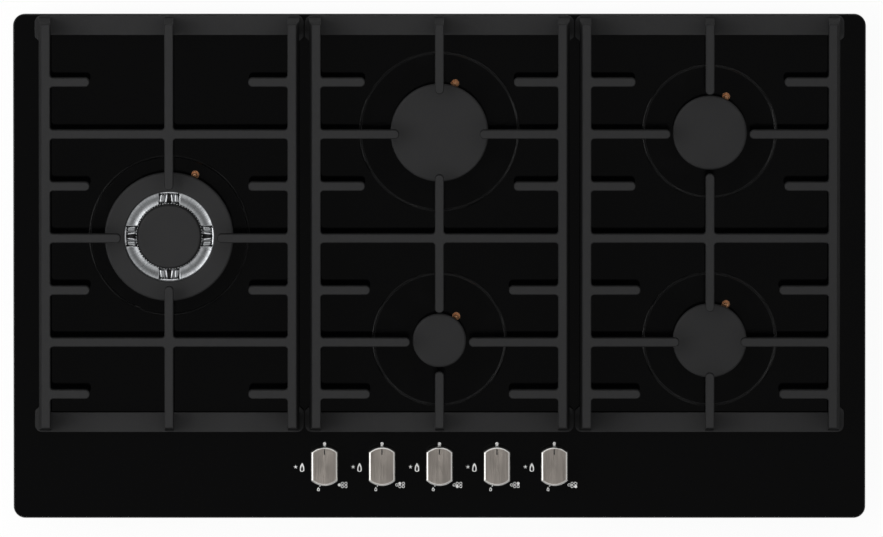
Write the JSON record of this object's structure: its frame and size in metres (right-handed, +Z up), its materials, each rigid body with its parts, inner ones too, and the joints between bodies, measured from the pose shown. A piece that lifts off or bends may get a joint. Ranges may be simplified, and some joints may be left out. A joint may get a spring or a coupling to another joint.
{
  "type": "gas cooktop",
  "caption": "Built-in gas cooktop: black glass panel, burners with a wok burner at the left, cast-iron grates, front row of push-and-turn knobs, gas parts in a steel box below.",
  "frame": {"origin": "under the middle of the glass panel, at the level of the underbox's underside", "axes": "+X to the right, +Y to the rear (away from the knobs), +Z up"},
  "size_m": [0.86, 0.51, 0.1],
  "materials": {
    "black_glass": "polished, opaque black",
    "cast_iron": "matte black enamel on cast iron",
    "cap_enamel": "matte black enamel",
    "dish_enamel": "gloss black enamel",
    "aluminium": "machined, blasted",
    "cast_aluminium": "die-cast",
    "knob_metal": "brushed, bevelled",
    "steel": "bright zinc",
    "galvanised_steel": "galvanised sheet",
    "copper": "bare copper tip",
    "brass": "turned brass",
    "ceramic": "glazed ceramic sleeve",
    "rubber": "matte",
    "foam": "closed-cell foam",
    "module_plastic": "moulded"
  },
  "bodies": {
    "hob": {"burner_brackets": "galvanised_steel", "burner_cup_front_centre": "cast_aluminium", "burner_cup_front_right": "cast_aluminium", "burner_cup_rear_centre": "cast_aluminium", "burner_cup_rear_right": "cast_aluminium", "burner_cup_wok": "cast_aluminium", "burner_dishes_large": "dish_enamel", "burner_dishes_small": "dish_enamel", "burner_screws": "steel", "cable_grommet": "rubber", "clamp_screws": "steel", "gas_inlet_elbow": "brass", "gas_manifold": "steel", "gas_pipes": "aluminium", "gas_valve_1": "cast_aluminium", "gas_valve_2": "cast_aluminium", "gas_valve_3": "cast_aluminium", "gas_valve_4": "cast_aluminium", "gas_valve_5": "cast_aluminium", "glass_panel": "black_glass", "ignition_module": "module_plastic", "spark_electrodes": "ceramic", "spindle_seals": "rubber", "thermocouples": "copper", "underbox": "galvanised_steel", "valve_bonnets": "steel", "worktop_clamps": "galvanised_steel", "worktop_seal": "foam"},
    "grate_left": {"grate_left": "cast_iron", "grate_feet_left": "rubber"},
    "grate_centre": {"grate_centre": "cast_iron", "grate_feet_centre": "rubber"},
    "grate_right": {"grate_right": "cast_iron", "grate_feet_right": "rubber"},
    "head_wok": {"burner_head_wok": "aluminium"},
    "cap_wok": {"burner_cap_wok": "cap_enamel"},
    "head_rear_centre": {"burner_head_rear_centre": "aluminium"},
    "cap_rear_centre": {"burner_cap_rear_centre": "cap_enamel"},
    "head_front_centre": {"burner_head_front_centre": "aluminium"},
    "cap_front_centre": {"burner_cap_front_centre": "cap_enamel"},
    "head_rear_right": {"burner_head_rear_right": "aluminium"},
    "cap_rear_right": {"burner_cap_rear_right": "cap_enamel"},
    "head_front_right": {"burner_head_front_right": "aluminium"},
    "cap_front_right": {"burner_cap_front_right": "cap_enamel"},
    "cap_wok_inner": {"wok_inner_cap": "cap_enamel"},
    "plug_1": {"valve_plug_1": "brass"},
    "knob_1": {"knob_1": "knob_metal", "spindle_1": "steel"},
    "plug_2": {"valve_plug_2": "brass"},
    "knob_2": {"knob_2": "knob_metal", "spindle_2": "steel"},
    "plug_3": {"valve_plug_3": "brass"},
    "knob_3": {"knob_3": "knob_metal", "spindle_3": "steel"},
    "plug_4": {"valve_plug_4": "brass"},
    "knob_4": {"knob_4": "knob_metal", "spindle_4": "steel"},
    "plug_5": {"valve_plug_5": "brass"},
    "knob_5": {"knob_5": "knob_metal", "spindle_5": "steel"}
  },
  "joints": [
    {"name": "grate_lift_left", "type": "slide", "parent": "hob", "child": "grate_left", "axis": [0, 0, 1], "range_m": [0, 0.15]},
    {"name": "grate_lift_centre", "type": "slide", "parent": "hob", "child": "grate_centre", "axis": [0, 0, 1], "range_m": [0, 0.15]},
    {"name": "grate_lift_right", "type": "slide", "parent": "hob", "child": "grate_right", "axis": [0, 0, 1], "range_m": [0, 0.15]},
    {"name": "head_lift_wok", "type": "slide", "parent": "hob", "child": "head_wok", "axis": [0, 0, 1], "range_m": [0, 0.004]},
    {"name": "cap_lift_wok", "type": "slide", "parent": "head_wok", "child": "cap_wok", "axis": [0, 0, 1], "range_m": [0, 0.004]},
    {"name": "head_lift_rear_centre", "type": "slide", "parent": "hob", "child": "head_rear_centre", "axis": [0, 0, 1], "range_m": [0, 0.004]},
    {"name": "cap_lift_rear_centre", "type": "slide", "parent": "head_rear_centre", "child": "cap_rear_centre", "axis": [0, 0, 1], "range_m": [0, 0.004]},
    {"name": "head_lift_front_centre", "type": "slide", "parent": "hob", "child": "head_front_centre", "axis": [0, 0, 1], "range_m": [0, 0.03]},
    {"name": "cap_lift_front_centre", "type": "slide", "parent": "head_front_centre", "child": "cap_front_centre", "axis": [0, 0, 1], "range_m": [0, 0.06]},
    {"name": "head_lift_rear_right", "type": "slide", "parent": "hob", "child": "head_rear_right", "axis": [0, 0, 1], "range_m": [0, 0.03]},
    {"name": "cap_lift_rear_right", "type": "slide", "parent": "head_rear_right", "child": "cap_rear_right", "axis": [0, 0, 1], "range_m": [0, 0.06]},
    {"name": "head_lift_front_right", "type": "slide", "parent": "hob", "child": "head_front_right", "axis": [0, 0, 1], "range_m": [0, 0.004]},
    {"name": "cap_lift_front_right", "type": "slide", "parent": "head_front_right", "child": "cap_front_right", "axis": [0, 0, 1], "range_m": [0, 0.004]},
    {"name": "cap_lift_wok_inner", "type": "slide", "parent": "head_wok", "child": "cap_wok_inner", "axis": [0, 0, 1], "range_m": [0, 0.06]},
    {"name": "knob_turn_1", "type": "hinge", "parent": "hob", "child": "plug_1", "pos_m": [-0.116, -0.2009, 0.023], "axis": [0, 0, 1], "range_deg": [0, 170]},
    {"name": "knob_push_1", "type": "slide", "parent": "plug_1", "child": "knob_1", "axis": [0, 0, -1], "range_m": [0, 0.0035], "stiffness_N_per_m": 900, "springref_m": -0.004},
    {"name": "knob_turn_2", "type": "hinge", "parent": "hob", "child": "plug_2", "pos_m": [-0.058, -0.2009, 0.023], "axis": [0, 0, 1], "range_deg": [0, 170]},
    {"name": "knob_push_2", "type": "slide", "parent": "plug_2", "child": "knob_2", "axis": [0, 0, -1], "range_m": [0, 0.0035], "stiffness_N_per_m": 900, "springref_m": -0.004},
    {"name": "knob_turn_3", "type": "hinge", "parent": "hob", "child": "plug_3", "pos_m": [0, -0.2009, 0.023], "axis": [0, 0, 1], "range_deg": [0, 170]},
    {"name": "knob_push_3", "type": "slide", "parent": "plug_3", "child": "knob_3", "axis": [0, 0, -1], "range_m": [0, 0.0035], "stiffness_N_per_m": 900, "springref_m": -0.004},
    {"name": "knob_turn_4", "type": "hinge", "parent": "hob", "child": "plug_4", "pos_m": [0.058, -0.2009, 0.023], "axis": [0, 0, 1], "range_deg": [0, 170]},
    {"name": "knob_push_4", "type": "slide", "parent": "plug_4", "child": "knob_4", "axis": [0, 0, -1], "range_m": [0, 0.0035], "stiffness_N_per_m": 900, "springref_m": -0.004},
    {"name": "knob_turn_5", "type": "hinge", "parent": "hob", "child": "plug_5", "pos_m": [0.116, -0.2009, 0.023], "axis": [0, 0, 1], "range_deg": [0, 170]},
    {"name": "knob_push_5", "type": "slide", "parent": "plug_5", "child": "knob_5", "axis": [0, 0, -1], "range_m": [0, 0.0035], "stiffness_N_per_m": 900, "springref_m": -0.004}
  ]
}
